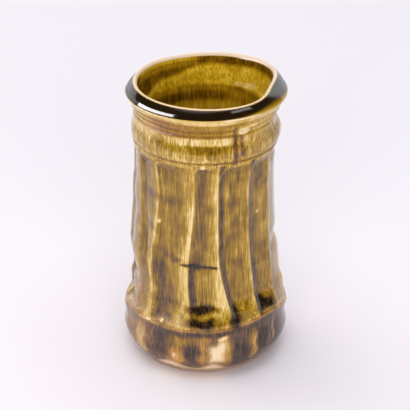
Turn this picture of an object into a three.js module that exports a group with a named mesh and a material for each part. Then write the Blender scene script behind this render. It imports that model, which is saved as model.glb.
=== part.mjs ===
// Fluted brush pot: a wheel-thrown stoneware cylinder with a collar and a pinched mouth,
// carved with fourteen long flutes that start under a cut line and stop on a ledge,
// coated outside and lined inside with a poured ash glaze, bare under the foot.
// Millimetres, +Z up. Azimuth 0 degrees faces the front (-Y) and grows towards +X.

import * as THREE from 'three';

// Heights up the pot
const LEDGE_Z = 29.6;
const CUT_LINE_Z = 121;
const NECK_Z = 135.4;
const RIM_Z = 144.7;
const LIP_Z = 149.7;

// Radii of the thrown wall, measured on the glaze
const FOOT_RADIUS = 34.6;
const BAND_RADIUS = 43;
const WAIST_RADIUS = 36.8;
const COLLAR_RADIUS = 37.9;
const NECK_RADIUS = 36;
const RIM_RADIUS = 40.7;
const LIP_RADIUS = 37.4;
const WELL_RADIUS = 31.5;
const NECK_GROOVES = 3;
const NECK_FLARE = 1.3;

// Foot ring, floor and glaze coats
const FOOT_RING_WIDTH = 7;
const FOOT_RECESS = 1.6;
const FLOOR_Z = 9;
const GLAZE_START_Z = 2.4;
const GLAZE_COAT = 0.7;
const LINER_COAT = 0.6;
const COAT_JOINT = 0.1;

// Flutes: azimuth of each sharp arris at the waist, how far it leans by the collar and the ledge,
// and how far the hand swayed on the way. Of the cut to its right: how far the top corner is
// rounded down, and how high the scoop at its end reaches above the ledge.
const ARRISES = [
  { waist: -63, collar: -2, ledge: 2, sway: 1, arch: 2, scoop: 4 },
  { waist: -42, collar: -2.3, ledge: 0.5, sway: 4.2, arch: 2, scoop: 5 },
  { waist: -10.8, collar: 0.3, ledge: 0, sway: 2.8, arch: 3, scoop: 10 },
  { waist: 11.2, collar: -1, ledge: 10.5, sway: 0, arch: 9, scoop: 10 },
  { waist: 38.2, collar: -1, ledge: 2.5, sway: 0, arch: 8, scoop: 10 },
  { waist: 62.5, collar: -2, ledge: 0, sway: 0.5, arch: 7, scoop: 7 },
  { waist: 104, collar: 4, ledge: -17, sway: 0, arch: 8, scoop: 9 },
  { waist: 126, collar: 3, ledge: -5, sway: 1.5, arch: 4, scoop: 5 },
  { waist: 148, collar: -2, ledge: 5, sway: -1, arch: 6, scoop: 9 },
  { waist: 171, collar: 2, ledge: -3, sway: 2, arch: 3, scoop: 5 },
  { waist: 195, collar: -3, ledge: 3, sway: 0, arch: 8, scoop: 10 },
  { waist: 218, collar: 3, ledge: -4, sway: -1.5, arch: 4, scoop: 6 },
  { waist: 240, collar: 2, ledge: 4, sway: 1, arch: 6, scoop: 9 },
  { waist: 263, collar: -3, ledge: 2, sway: 2, arch: 3, scoop: 5 },
];
const SWAY_LENGTH = 100;
const FLUTE_STEPS = [0, 0.1, 0.3, 0.65];
const FLUTE_DEEPEST = 0.2;
const FLUTE_DEPTH_AT_COLLAR = 1.7;
const FLUTE_DEPTH_AT_LEDGE = 3;
const FLUTE_TOP_Z = 119.4;
const FLUTE_RUN_OUT = 5;
const ARCH_SHARE = 0.3;
const COLUMNS = ARRISES.length * FLUTE_STEPS.length;

const lerp = THREE.MathUtils.lerp;
const clamp = THREE.MathUtils.clamp;
const rise = (low, high, value) => THREE.MathUtils.smoothstep(value, low, high);

// Shortest way round from one azimuth to another, in degrees
function turnBetween(from, to) {
  return ((to - from + 540) % 360) - 180;
}

// A soft swelling of height 1 centred on an azimuth
function swell(azimuth, centre, width) {
  const turn = turnBetween(centre, azimuth) / width;
  return Math.exp(-turn * turn);
}

// The ledge was cut by eye: it climbs on the right of the front and sags at both sides
function ledgeLift(azimuth) {
  return 3.2 * swell(azimuth, 50, 26) - 3.6 * swell(azimuth, -95, 20) - 4 * swell(azimuth, 94, 20);
}

// The mouth is squeezed out of round: pinched in at the right of the front, a little at the back
function mouthSqueeze(azimuth) {
  const swing = 1.3 * Math.cos(THREE.MathUtils.degToRad(azimuth - 100));
  return swing - 5.7 * swell(azimuth, 78, 32) - 1.4 * swell(azimuth, -157, 24);
}

// The mouth isn't level either: it stands higher at the front than at the back
const MOUTH_TILT = 0.45;

function mouthLift(azimuth) {
  return MOUTH_TILT * (1 + Math.cos(THREE.MathUtils.degToRad(azimuth)));
}

// The thrown wall leans a little off the wheel's axis: how far sideways at a few heights
const DRIFT_Z = [0, 15, 46, 68, 100, CUT_LINE_Z, LIP_Z];
const DRIFT_X = [-0.9, 0, 0, -1.1, -0.9, 0.1, 0.4];
const drift = new THREE.CubicInterpolant(DRIFT_Z, DRIFT_X, 1);

// The hands that held the wet pot left shallow swellings and, where out is negative, hollows
const HAND_MARKS = [
  { azimuth: -145, z: 146, width: 30, tall: 9, out: 0.8 },
  { azimuth: 130, z: 146, width: 26, tall: 9, out: 0.8 },
  { azimuth: 80, z: 145, width: 32, tall: 8, out: -0.2 },
  { azimuth: 97, z: 133, width: 30, tall: 4.5, out: -3.2 },
  { azimuth: 86, z: 115.5, width: 30, tall: 4, out: -1.6 },
  { azimuth: -82, z: 101, width: 30, tall: 7, out: -0.5 },
  { azimuth: -63, z: 72, width: 10, tall: 38, out: -1.7 },
  { azimuth: -82, z: 81.5, width: 30, tall: 7, out: -0.7 },
  { azimuth: 94, z: 63, width: 26, tall: 4, out: -1.5 },
  { azimuth: -82, z: 58.5, width: 28, tall: 6, out: 1.1 },
  { azimuth: -82, z: 46, width: 28, tall: 3, out: -0.7 },
  { azimuth: -84, z: 39.5, width: 28, tall: 3.5, out: 1.1 },
  { azimuth: 88, z: 36.5, width: 26, tall: 4, out: 1.2 },
  { azimuth: -94, z: 30, width: 28, tall: 3, out: -2 },
  { azimuth: -84, z: 23.5, width: 28, tall: 3, out: 0.3 },
  { azimuth: 88, z: 20, width: 28, tall: 8, out: -0.7 },
];

function handPressed(azimuth, z) {
  return HAND_MARKS.reduce((sum, mark) => {
    const up = (z - mark.z) / mark.tall;
    return sum + mark.out * swell(azimuth, mark.azimuth, mark.width) * Math.exp(-up * up);
  }, 0);
}

// Azimuth of an arris at a height: a parabola through its three known places, with its sway
function arrisAzimuth(index, z) {
  const turns = Math.floor(index / ARRISES.length);
  const arris = ARRISES[index - turns * ARRISES.length];
  const waistZ = (LEDGE_Z + FLUTE_TOP_Z) / 2;
  const along = clamp((z - waistZ) / (FLUTE_TOP_Z - waistZ), -1, 1);
  const lean = along > 0 ? arris.collar : arris.ledge;
  const swayed = arris.sway * Math.sin((2 * Math.PI * along * (FLUTE_TOP_Z - waistZ)) / SWAY_LENGTH);
  return arris.waist + 360 * turns + lean * along * along + swayed;
}

// Depth of the cut beside an arris: t runs from 0 on it to 1 on the next
function fluteDepth(arris, t, z, azimuth) {
  const away = t < FLUTE_DEEPEST ? 1 - t / FLUTE_DEEPEST : (t - FLUTE_DEEPEST) / (1 - FLUTE_DEEPEST);
  const section = 1 - away * away;
  const corner = Math.max(0, 1 - t / ARCH_SHARE);
  const top = FLUTE_TOP_Z - arris.arch * corner * corner;
  const runOut = rise(0, FLUTE_RUN_OUT, top - z);
  const up = clamp((z - LEDGE_Z - ledgeLift(azimuth)) / arris.scoop, 0, 1);
  const scoop = Math.sqrt(1 - (1 - up) * (1 - up));
  const full = lerp(FLUTE_DEPTH_AT_LEDGE, FLUTE_DEPTH_AT_COLLAR, rise(LEDGE_Z, FLUTE_TOP_Z, z));
  return full * section * runOut * scoop;
}

// A row of the wall: r, z, and how much of each local effect it takes
function row(r, z, effects = {}) {
  return { r, z, ledge: 0, mouth: 0, carved: false, drifts: true, ...effects };
}

// Points of a smooth curve, as rows
function curveRows(points, count, effects) {
  const curve = new THREE.SplineCurve(points.map(([r, z]) => new THREE.Vector2(r, z)));
  return curve.getPoints(count).map((point) => row(point.x, point.y, effects(point.y)));
}

const underLedge = (z) => ({ ledge: rise(12, 22, z) });
const overLedge = (z) => ({ ledge: 1 - rise(36, 60, z), carved: true });
const plain = () => ({});

// The outside of the pot as its glaze shows it, from the foot up to the lip
function bandRows() {
  const turned = [
    [FOOT_RADIUS + 1, GLAZE_START_Z],
    [FOOT_RADIUS + 4.2, 5.3],
    [BAND_RADIUS - 1.5, 9.2],
    [BAND_RADIUS, 14.5],
    [BAND_RADIUS - 0.7, 23.6],
    [BAND_RADIUS - 0.2, 28],
  ];
  return curveRows(turned, 7, underLedge);
}

function bodyRows() {
  const thrown = [
    [BAND_RADIUS - 0.7, LEDGE_Z + 0.4],
    [40.9, 35.6],
    [39.4, 43],
    [39, 58],
    [37.9, 78],
    [WAIST_RADIUS, 100],
    [WAIST_RADIUS, 112],
    [37, FLUTE_TOP_Z],
  ];
  return curveRows(thrown, 15, overLedge);
}

function collarRows() {
  const cutLine = [row(37.1, CUT_LINE_Z - 1), row(36.8, CUT_LINE_Z), row(37.3, CUT_LINE_Z + 0.7)];
  const swelling = [
    [37.8, CUT_LINE_Z + 3],
    [COLLAR_RADIUS, 126.6],
    [37.4, 130],
    [NECK_RADIUS + 0.9, NECK_Z - 1.3],
  ];
  return [...cutLine, ...curveRows(swelling, 4, plain), row(NECK_RADIUS + 0.4, NECK_Z - 0.6)];
}

// Throwing grooves climb the underside of the rim, which flares late: r and z of their bottoms
function grooveBottoms() {
  return Array.from({ length: NECK_GROOVES }, (_, i) => {
    const share = i / NECK_GROOVES;
    return [lerp(NECK_RADIUS, RIM_RADIUS - 1.1, share ** NECK_FLARE), lerp(NECK_Z, RIM_Z - 1.2, share)];
  });
}

function neckRows() {
  return grooveBottoms().flatMap(([r, z]) => [row(r, z), row(r + 1.2, z + 1.3)]);
}

function rimRows() {
  const taper = (share) => ({ mouth: share });
  return [
    row(RIM_RADIUS - 0.5, RIM_Z - 0.9),
    row(RIM_RADIUS, RIM_Z),
    row(RIM_RADIUS - 0.45, RIM_Z + 0.8, taper(0.1)),
    row(LIP_RADIUS + 2.4, LIP_Z - 2.7, taper(0.55)),
    row(LIP_RADIUS + 1, LIP_Z - 0.7, taper(1)),
    row(LIP_RADIUS, LIP_Z, taper(1)),
    row(LIP_RADIUS - 0.9, LIP_Z - 0.4, taper(1)),
    row(LIP_RADIUS - 1.6, LIP_Z - 1.8, taper(1)),
  ];
}

// The well that the brushes stand in, from the lip down to the middle of the floor
function wellRows(coat) {
  const wall = [
    [LIP_RADIUS - 2.1 + coat, LIP_Z - 5, 0.85],
    [WELL_RADIUS + 1.9 + coat, LIP_Z - 13, 0.5],
    [WELL_RADIUS + 0.7 + coat, LIP_Z - 18, 0.2],
    [WELL_RADIUS + coat, CUT_LINE_Z - 8, 0],
    [WELL_RADIUS + coat, 70, 0],
    [WELL_RADIUS + 0.8 + coat, 36, 0],
    [WELL_RADIUS - 0.6 + coat, FLOOR_Z + 8 - coat, 0],
    [WELL_RADIUS - 6 + coat, FLOOR_Z + 1 - coat, 0],
  ];
  const rows = wall.map(([r, z, mouth]) => row(r, z, { mouth, drifts: z > FLOOR_Z + 20 }));
  return [...rows, row(0, FLOOR_Z - coat, { drifts: false })];
}

// Azimuth of a column of points: on the flutes it follows the arrises, elsewhere it is evenly spaced
function columnAzimuth(column, t, z, carved) {
  const flute = Math.floor(column / FLUTE_STEPS.length);
  const following = lerp(arrisAzimuth(flute, z), arrisAzimuth(flute + 1, z), t);
  const even = ARRISES[0].waist + (360 * column) / COLUMNS;
  const settle = carved ? 0 : rise(4, 24, Math.max(LEDGE_Z - z, z - FLUTE_TOP_Z));
  return lerp(following, even, settle);
}

// Split each four-sided facet along its shorter diagonal, so that faces that touch match
function splitShort(geometry) {
  const place = geometry.attributes.position;
  const index = geometry.index;
  const corner = (i) => new THREE.Vector3().fromBufferAttribute(place, index.getX(i));
  for (let first = 0; first < index.count; first += 6) {
    const [a, b, d, c] = [0, 1, 2, 3].map((step) => index.getX(first + step));
    const acrossBD = corner(first + 1).distanceTo(corner(first + 2));
    const acrossAC = corner(first).distanceTo(corner(first + 3));
    if (acrossAC < acrossBD) {
      [a, b, c, a, c, d].forEach((vertex, step) => index.setX(first + step, vertex));
    }
  }
}

// Turn closed rows on the wheel, then carve, squeeze and shift each point of the wall
function throwAndCarve(rows, inset) {
  const profile = rows.map(({ r, z }) => new THREE.Vector2(r, z));
  const geometry = new THREE.LatheGeometry(profile, COLUMNS);
  const place = geometry.attributes.position;
  for (let index = 0; index < place.count; index += 1) {
    const column = Math.floor(index / rows.length) % COLUMNS;
    const { r, z, ledge, mouth, carved, drifts, thin = 0 } = rows[index % rows.length];
    const t = FLUTE_STEPS[column % FLUTE_STEPS.length];
    const azimuth = columnAzimuth(column, t, z, carved);
    const height = z + ledge * ledgeLift(azimuth) + rise(NECK_Z, RIM_Z, z) * mouthLift(azimuth);
    const arris = ARRISES[Math.floor(column / FLUTE_STEPS.length)];
    const carving = carved ? fluteDepth(arris, t, height, azimuth) : 0;
    const shaping = mouth * mouthSqueeze(azimuth) + handPressed(azimuth, height);
    const radius = r === 0 ? 0 : r + shaping - carving - thin * inset;
    const angle = THREE.MathUtils.degToRad(azimuth);
    const side = r !== 0 && drifts ? drift.evaluate(z)[0] : 0;
    place.setXYZ(index, side + radius * Math.sin(angle), -radius * Math.cos(angle), height);
  }
  geometry.deleteAttribute('uv');
  splitShort(geometry);
  geometry.computeVertexNormals();
  return geometry;
}

// The face that clay and outer glaze share, set in by the coat's thickness: plainer than the
// shown face on the band and the rim, and the same row by row on the flutes
function bondRows() {
  const under = { thin: 1 };
  const rows = [
    row(FOOT_RADIUS + 1.5, GLAZE_START_Z + 0.7, under),
    row(BAND_RADIUS - 1.5, 9.2, under),
    row(BAND_RADIUS - 0.2, 16, { ...under, ledge: rise(12, 22, 16) }),
    row(BAND_RADIUS - 0.6, LEDGE_Z - 1.4, { ...under, ledge: 1 }),
    row(BAND_RADIUS - 1, LEDGE_Z + 0.4, { ...under, ledge: 1, carved: true }),
  ];
  rows.push(
    ...bodyRows().slice(1, -1).map((carvedRow) => ({ ...carvedRow, ...under })),
    row(36.5, CUT_LINE_Z, under),
    row(COLLAR_RADIUS - 0.2, 126.6, under),
    row(COLLAR_RADIUS - 0.6, 131.5, under),
    ...grooveBottoms().map(([r, z]) => row(r, z, under)),
    row(RIM_RADIUS - 0.6, RIM_Z, under),
    row(LIP_RADIUS + 0.9, LIP_Z - 1.5, { ...under, mouth: 0.95 }),
  );
  return rows;
}

function lipEdge(coat) {
  return row(LIP_RADIUS - 1.8 + coat, LIP_Z - 2 - coat, { mouth: 1 });
}

function outerGlaze() {
  const shown = [...bandRows(), ...bodyRows(), ...collarRows(), ...neckRows(), ...rimRows()];
  const hidden = [...bondRows(), lipEdge(LINER_COAT)].reverse();
  const rows = [...shown, ...hidden];
  return throwAndCarve([...rows, rows[0]], GLAZE_COAT);
}

function innerGlaze() {
  const shown = [row(LIP_RADIUS - 1.7, LIP_Z - 2 - COAT_JOINT, { mouth: 1 }), ...wellRows(0)];
  const hidden = [lipEdge(LINER_COAT), ...wellRows(LINER_COAT)].reverse();
  return throwAndCarve([...hidden, ...shown], 0);
}

function clayBody() {
  const ringInside = FOOT_RADIUS - FOOT_RING_WIDTH;
  const foot = [
    row(0, FOOT_RECESS),
    row(ringInside - 2, FOOT_RECESS),
    row(ringInside, 0),
    row(FOOT_RADIUS - 0.8, 0),
    row(FOOT_RADIUS, 0.5),
  ];
  const well = [lipEdge(LINER_COAT), ...wellRows(LINER_COAT)];
  return throwAndCarve([...foot, ...bondRows(), ...well], GLAZE_COAT);
}

function part(name, geometry, colour, roughness) {
  const material = new THREE.MeshStandardMaterial({ color: colour, roughness, metalness: 0 });
  const mesh = new THREE.Mesh(geometry, material);
  mesh.name = name;
  return mesh;
}

const brushPot = new THREE.Group();
brushPot.add(
  part('clay_body', clayBody(), 0xb98a68, 0.85),
  part('outer_glaze', outerGlaze(), 0x8a7026, 0.12),
  part('inner_glaze', innerGlaze(), 0x7d6410, 0.15),
);

export default brushPot;
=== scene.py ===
# %% [markdown]
# A fluted brush pot. The real pot is one thrown cylinder of stoneware with a collar and a
# squeezed mouth. Fourteen long flutes were cut into its wall with a loop tool, and an ash glaze
# was poured over it inside and out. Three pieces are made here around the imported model: the bare
# clay, the glaze coat outside and the glaze liner inside. All lengths are in millimetres, as a
# potter measures, and become metres in a mesh.

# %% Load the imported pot
import math

import bmesh
import bpy
import numpy as np
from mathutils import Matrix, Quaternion, Vector


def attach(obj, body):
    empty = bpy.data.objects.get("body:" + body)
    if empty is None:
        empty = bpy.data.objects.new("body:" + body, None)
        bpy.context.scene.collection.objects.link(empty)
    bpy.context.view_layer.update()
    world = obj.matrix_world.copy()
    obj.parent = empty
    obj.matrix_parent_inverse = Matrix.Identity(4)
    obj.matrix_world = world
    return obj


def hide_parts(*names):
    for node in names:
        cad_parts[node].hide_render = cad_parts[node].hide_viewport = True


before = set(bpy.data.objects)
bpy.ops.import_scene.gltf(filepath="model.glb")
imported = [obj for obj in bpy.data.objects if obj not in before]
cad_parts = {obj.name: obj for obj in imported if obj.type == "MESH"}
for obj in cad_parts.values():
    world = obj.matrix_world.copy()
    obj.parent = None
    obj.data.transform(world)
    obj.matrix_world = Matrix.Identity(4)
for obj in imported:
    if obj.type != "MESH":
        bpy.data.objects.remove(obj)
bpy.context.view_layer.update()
MM = 0.001

# %% [markdown]
# The camera stands a little under a metre away and looks down by 27 degrees, which opens the
# mouth to an ellipse and hides the underside of the rim. A long lens keeps the sides almost
# parallel. The helper put makes an object of a camera, lamp or mesh.

# %% Stand the camera where the photographer stood
CAMERA_DISTANCE = 929
CAMERA_TILT = math.radians(27.18)
CAMERA_AIM = Vector((-0.4, 0, 80))
LENS = 158.05


def put(name, data):
    made = bpy.data.objects.new(name, data)
    bpy.context.scene.collection.objects.link(made)
    return made


def place_camera():
    camera = put("camera", bpy.data.cameras.new("camera"))
    camera.data.lens = LENS
    camera.data.clip_end = 20
    back = Vector((0, -math.cos(CAMERA_TILT), math.sin(CAMERA_TILT)))
    camera.location = (CAMERA_AIM + back * CAMERA_DISTANCE) * MM
    camera.rotation_euler = (math.pi / 2 - CAMERA_TILT, 0, 0)
    bpy.context.scene.camera = camera
    return camera


camera = place_camera()
print("camera at", [round(c, 3) for c in camera.location])

# %% [markdown]
# The pot stands on pale paper. A black flag lies in front of it, as photographers lay one to
# keep an upturned shoulder from mirroring the paper. Only mirror rays see it, so it neither
# shows nor darkens the floor.

# %% Lay the paper and the black flag
FLOOR_SIZE = 6000
PAPER_COLOUR, BLACK = (0.935, 0.9, 0.95), (0, 0, 0)
FLAG_START = 330


def mesh_from(bm, name):
    mesh = bpy.data.meshes.new(name)
    bm.to_mesh(mesh)
    bm.free()
    return mesh


def new_finish(name):
    material = bpy.data.materials.new(name)
    material.use_nodes = True
    return material, material.node_tree.nodes["Principled BSDF"]


def lay_sheet(name, finish, colour, shine, moved=(0, 0, 0)):
    bm = bmesh.new()
    bmesh.ops.create_grid(bm, x_segments=1, y_segments=1, size=FLOOR_SIZE / 2 * MM)
    bmesh.ops.translate(bm, vec=Vector(moved) * MM, verts=bm.verts)
    sheet = put(name, mesh_from(bm, name))
    material, shader = new_finish(finish)
    shader.inputs["Base Color"].default_value = (*colour, 1)
    shader.inputs["Roughness"].default_value = 0.9
    shader.inputs["Specular IOR Level"].default_value = shine
    sheet.data.materials.append(material)
    return sheet


floor = lay_sheet("floor", "floor paper", PAPER_COLOUR, shine=0.1)
flag = lay_sheet("flag", "black flag", BLACK, shine=0, moved=(0, -FLOOR_SIZE / 2 - FLAG_START, 1))
flag.visible_camera = flag.visible_diffuse = flag.visible_shadow = False
print("the flag starts", FLAG_START, "mm in front")

# %% [markdown]
# The room and every finish are small trees of nodes. One helper adds a node, sets it and links
# its inputs, so that a tree reads from top to bottom like a recipe. Another does sums.

# %% A helper for node trees
def node(tree, kind, inputs=None, **settings):
    made = tree.nodes.new(kind)
    for name, value in settings.items():
        setattr(made, name, value)
    for name, value in (inputs or {}).items():
        if isinstance(value, bpy.types.NodeSocket):
            tree.links.new(value, made.inputs[name])
        else:
            made.inputs[name].default_value = value
    return made


def maths(tree, operation, first, second):
    return node(tree, "ShaderNodeMath", {0: first, 1: second}, operation=operation).outputs[0]


print("helpers: node and maths")

# %% [markdown]
# Glaze is a mirror, so what stands around the pot matters as much as the lamps. The upright wall
# mirrors the pale floor, the rim's bevel mirrors the dim room in front, its flanks mirror the
# paper sweep behind, and the lip and the pools mirror the bright ceiling. The world is the sum of
# two fades, one for the sweep behind the pot and one for the ceiling.

# %% Light the room
SWEEP_AXIS, SWEEP_STOPS = (0, -0.42, 0.91), ((-0.01, 1.4), (0.07, 0.05))
CEILING_AXIS, CEILING_STOPS = (0, 0, 1), ((0.76, 0.0), (0.90, 2.1))
ROOM_TINT = (0.99, 0.98, 1)


def fade_along(tree, axis, start, end):
    where = node(tree, "ShaderNodeTexCoord").outputs["Generated"]
    along = node(tree, "ShaderNodeVectorMath", {0: where, 1: axis}, operation="DOT_PRODUCT")
    labels = ("Value", "From Min", "To Min", "From Max", "To Max")
    inputs = dict(zip(labels, (along.outputs["Value"], *start, *end)))
    return node(tree, "ShaderNodeMapRange", inputs, interpolation_type="SMOOTHSTEP").outputs["Result"]


def light_room():
    world = bpy.data.worlds.new("room")
    world.use_nodes = True
    tree = world.node_tree
    sweep = fade_along(tree, SWEEP_AXIS, *SWEEP_STOPS)
    ceiling = fade_along(tree, CEILING_AXIS, *CEILING_STOPS)
    background = tree.nodes["Background"]
    tree.links.new(maths(tree, "ADD", sweep, ceiling), background.inputs["Strength"])
    background.inputs["Color"].default_value = (*ROOM_TINT, 1)
    bpy.context.scene.world = world


light_room()
bpy.context.scene.view_settings.view_transform = "Standard"
print("the sweep is", SWEEP_STOPS[0][1], "strong and the ceiling", CEILING_STOPS[1][1])

# %% [markdown]
# Two strip lights are there only to be mirrored in the rim's bevel, so matt surfaces don't see
# them. Two soft lights, which mirrors don't see, fill the front and cast the shadow. Each lamp
# is a row of a table: how far round the pot it hangs, how high, how far off, and so on.

# %% Hang the lamps
def table(names, *rows):
    return [dict(zip(names.split(), row)) for row in rows]


LAMPS = table(
    "name azimuth height distance size power roll",
    ("left strip", -80, 22, 900, (1000, 200), 12.5, 10),
    ("right strip", 62, 42, 900, (520, 130), 0.8, -6),
    ("back light", -128, 42, 2200, (1700, 1700), 8.6, 0),
    ("front fill", 0, 20, 1800, (1500, 900), 17.5, 0),
)
LAMPS_AIM_Z = 120


def hang_lamp(name, azimuth, height, distance, size, power, roll):
    data = bpy.data.lights.new(name, "AREA")
    data.shape = "RECTANGLE"
    data.size, data.size_y = (side * MM for side in size)
    data.energy = power
    lamp = put(name, data)
    lamp.visible_camera = False
    lamp.visible_diffuse = "strip" not in name
    lamp.visible_glossy = "strip" in name
    a, h = math.radians(azimuth), math.radians(height)
    away = Vector((math.sin(a) * math.cos(h), -math.cos(a) * math.cos(h), math.sin(h)))
    lamp.location = (Vector((0, 0, LAMPS_AIM_Z)) + away * distance) * MM
    turned = away.to_track_quat("Z", "Y") @ Quaternion((0, 0, 1), math.radians(roll))
    lamp.rotation_euler = turned.to_euler()


for lamp in LAMPS:
    hang_lamp(**lamp)
print("lamps:", [lamp["name"] for lamp in LAMPS])

# %% [markdown]
# A potter's marks are easiest to write as functions of height and azimuth, the angle round the
# pot. Azimuth 0 faces the camera and grows towards +X. A few small curves do most of the work:
# rise climbs softly from 0 to 1, between is up between two values, hill is a soft hill, and
# swell is a hill round one azimuth.

# %% Soft curves
def rise(low, high, value):
    share = np.clip((value - low) / (high - low), 0, 1)
    return share * share * (3 - 2 * share)


def turn_between(start, end):
    return (end - start + 540) % 360 - 180


def between(value, low, high, soft):
    return rise(low - soft, low + soft, value) * (1 - rise(high - soft, high + soft, value))


def hill(value, centre, width):
    return np.exp(-(((value - centre) / width) ** 2))


def swell(azimuth, centre, width):
    return hill(turn_between(centre, azimuth), 0, width)


def smooth_curve(points, steps):
    """A smooth line through points, with that many steps from each point to the next."""
    points = np.array(points, float)
    ends = len(points) - 1
    line = []
    for i in range(ends):
        before, here = points[max(i - 1, 0)], points[i]
        there, after = points[i + 1], points[min(i + 2, ends)]
        leave, arrive = (there - before) / 2, (after - here) / 2
        for w in np.arange(steps) / steps:
            cubic = 2 * here - 2 * there + leave + arrive
            square = 3 * there - 3 * here - 2 * leave - arrive
            line.append(cubic * w**3 + square * w**2 + leave * w + here)
    return np.array(line + [points[-1]])


print("rise at a quarter:", round(float(rise(0, 1, 0.25)), 3))

# %% [markdown]
# The pot isn't quite round or level. The ledge climbs at the right of the front, the mouth was
# squeezed between two fingers while the clay was wet, the wall leans a little off the wheel's
# axis, and the hands that held it left shallow hollows and swellings. Each mark is the same
# formula that shaped the packed clay.

# %% The pot's own irregularities
LEDGE_Z, CUT_LINE_Z, LIP_Z = 29.6, 121, 149.7
HAND_MARKS = table(
    "azimuth z width tall out",
    (-145, 146, 30, 9, 0.8), (130, 146, 26, 9, 0.8), (80, 145, 32, 8, -0.2),
    (97, 133, 30, 4.5, -3.2), (86, 115.5, 30, 4, -1.6), (-82, 101, 30, 7, -0.5),
    (-63, 72, 10, 38, -1.7), (-82, 81.5, 30, 7, -0.7), (94, 63, 26, 4, -1.5),
    (-82, 58.5, 28, 6, 1.1), (-82, 46, 28, 3, -0.7), (-84, 39.5, 28, 3.5, 1.1),
    (88, 36.5, 26, 4, 1.2), (-94, 30, 28, 3, -2), (-84, 23.5, 28, 3, 0.3), (88, 20, 28, 8, -0.7),
)
MOUTH_TILT = 0.45
DRIFT_Z = (0, 15, 46, 68, 100, CUT_LINE_Z, LIP_Z)
DRIFT_X = (-0.9, 0, 0, -1.1, -0.9, 0.1, 0.4)


def ledge_lift(azimuth):
    return 3.2 * swell(azimuth, 50, 26) - 3.6 * swell(azimuth, -95, 20) - 4 * swell(azimuth, 94, 20)


def mouth_squeeze(azimuth):
    swing = 1.3 * np.cos(np.radians(azimuth - 100))
    return swing - 5.7 * swell(azimuth, 78, 32) - 1.4 * swell(azimuth, -157, 24)


def mouth_lift(azimuth):
    return MOUTH_TILT * (1 + np.cos(np.radians(azimuth)))


def pressed(azimuth, z):
    """How far the hands pushed the wall out, or in where it is negative."""
    return sum(
        mark["out"] * swell(azimuth, mark["azimuth"], mark["width"]) * hill(z, mark["z"], mark["tall"])
        for mark in HAND_MARKS
    )


def drift(z):
    """How far sideways the wall leans at a height."""
    heights, sides = np.array(DRIFT_Z, float), np.array(DRIFT_X)
    slopes = np.gradient(sides, heights)
    slopes[1:-1] = (sides[2:] - sides[:-2]) / (heights[2:] - heights[:-2])
    z = np.clip(z, heights[0], heights[-1])
    i = np.clip(np.searchsorted(heights, z, side="right") - 1, 0, len(heights) - 2)
    span = heights[i + 1] - heights[i]
    w = (z - heights[i]) / span
    start = (1 + 2 * w) * (1 - w) ** 2 * sides[i] + w * (1 - w) ** 2 * span * slopes[i]
    end = w * w * (3 - 2 * w) * sides[i + 1] - w * w * (1 - w) * span * slopes[i + 1]
    return start + end


print("highest ledge:", round(float(LEDGE_Z + ledge_lift(50)), 1), "mm")

# %% [markdown]
# Each flute is one stroke of a loop tool. The strokes meet in a sharp edge, an arris, which
# wanders because the hand swayed. One side of a flute is steep and the other shallow, its top is
# an arch under the cut line, and its end is a scoop on the ledge.

# %% The fourteen flutes
ARRISES = table(
    "waist collar ledge sway arch scoop",
    (-63, -2, 2, 1, 2, 4), (-42, -2.3, 0.5, 4.2, 2, 5), (-10.8, 0.3, 0, 2.8, 3, 10),
    (11.2, -1, 10.5, 0, 9, 10), (38.2, -1, 2.5, 0, 8, 10), (62.5, -2, 0, 0.5, 7, 7),
    (104, 4, -17, 0, 8, 9), (126, 3, -5, 1.5, 4, 5), (148, -2, 5, -1, 6, 9),
    (171, 2, -3, 2, 3, 5), (195, -3, 3, 0, 8, 10), (218, 3, -4, -1.5, 4, 6),
    (240, 2, 4, 1, 6, 9), (263, -3, 2, 2, 3, 5),
)
FLUTES = len(ARRISES)
COLUMNS_PER_FLUTE = 22
COLUMNS = FLUTES * COLUMNS_PER_FLUTE
CREST_CROWDING = 0.6
SWAY_LENGTH = 100
FLUTE_DEEPEST = 0.2
FLUTE_DEPTH_AT_COLLAR, FLUTE_DEPTH_AT_LEDGE = 1.7, 3
FLUTE_TOP_Z, FLUTE_RUN_OUT = 119.4, 5
ARCH_SHARE = 0.3
CREST_SOFTNESS = 0.08
WAIST_Z = (LEDGE_Z + FLUTE_TOP_Z) / 2


def per_flute(field, flute, rows=ARRISES):
    return np.array([entry[field] for entry in rows])[flute % FLUTES]


def arris_azimuth(flute, z):
    half = FLUTE_TOP_Z - WAIST_Z
    along = np.clip((z - WAIST_Z) / half, -1, 1)
    lean = np.where(along > 0, per_flute("collar", flute), per_flute("ledge", flute))
    swayed = per_flute("sway", flute) * np.sin(2 * np.pi * along * half / SWAY_LENGTH)
    return per_flute("waist", flute) + 360 * (flute // FLUTES) + lean * along**2 + swayed


def flute_top(flute, t):
    corner = np.maximum(0, 1 - t / ARCH_SHARE)
    return FLUTE_TOP_Z - per_flute("arch", flute) * corner**2


def flute_depth(flute, t, z, azimuth):
    """Depth of the cut. t runs from 0 on one arris to 1 on the next."""
    steep = 1 - t / FLUTE_DEEPEST
    shallow = (t - FLUTE_DEEPEST) / (1 - FLUTE_DEEPEST)
    section = 1 - np.where(t < FLUTE_DEEPEST, steep, shallow) ** 2
    run_out = rise(0, FLUTE_RUN_OUT, flute_top(flute, t) - z)
    up = np.clip((z - LEDGE_Z - ledge_lift(azimuth)) / per_flute("scoop", flute), 0, 1)
    scoop = np.sqrt(1 - (1 - up) ** 2)
    fade = rise(LEDGE_Z, FLUTE_TOP_Z, z)
    full = FLUTE_DEPTH_AT_LEDGE + (FLUTE_DEPTH_AT_COLLAR - FLUTE_DEPTH_AT_LEDGE) * fade
    return full * section * run_out * scoop


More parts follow.
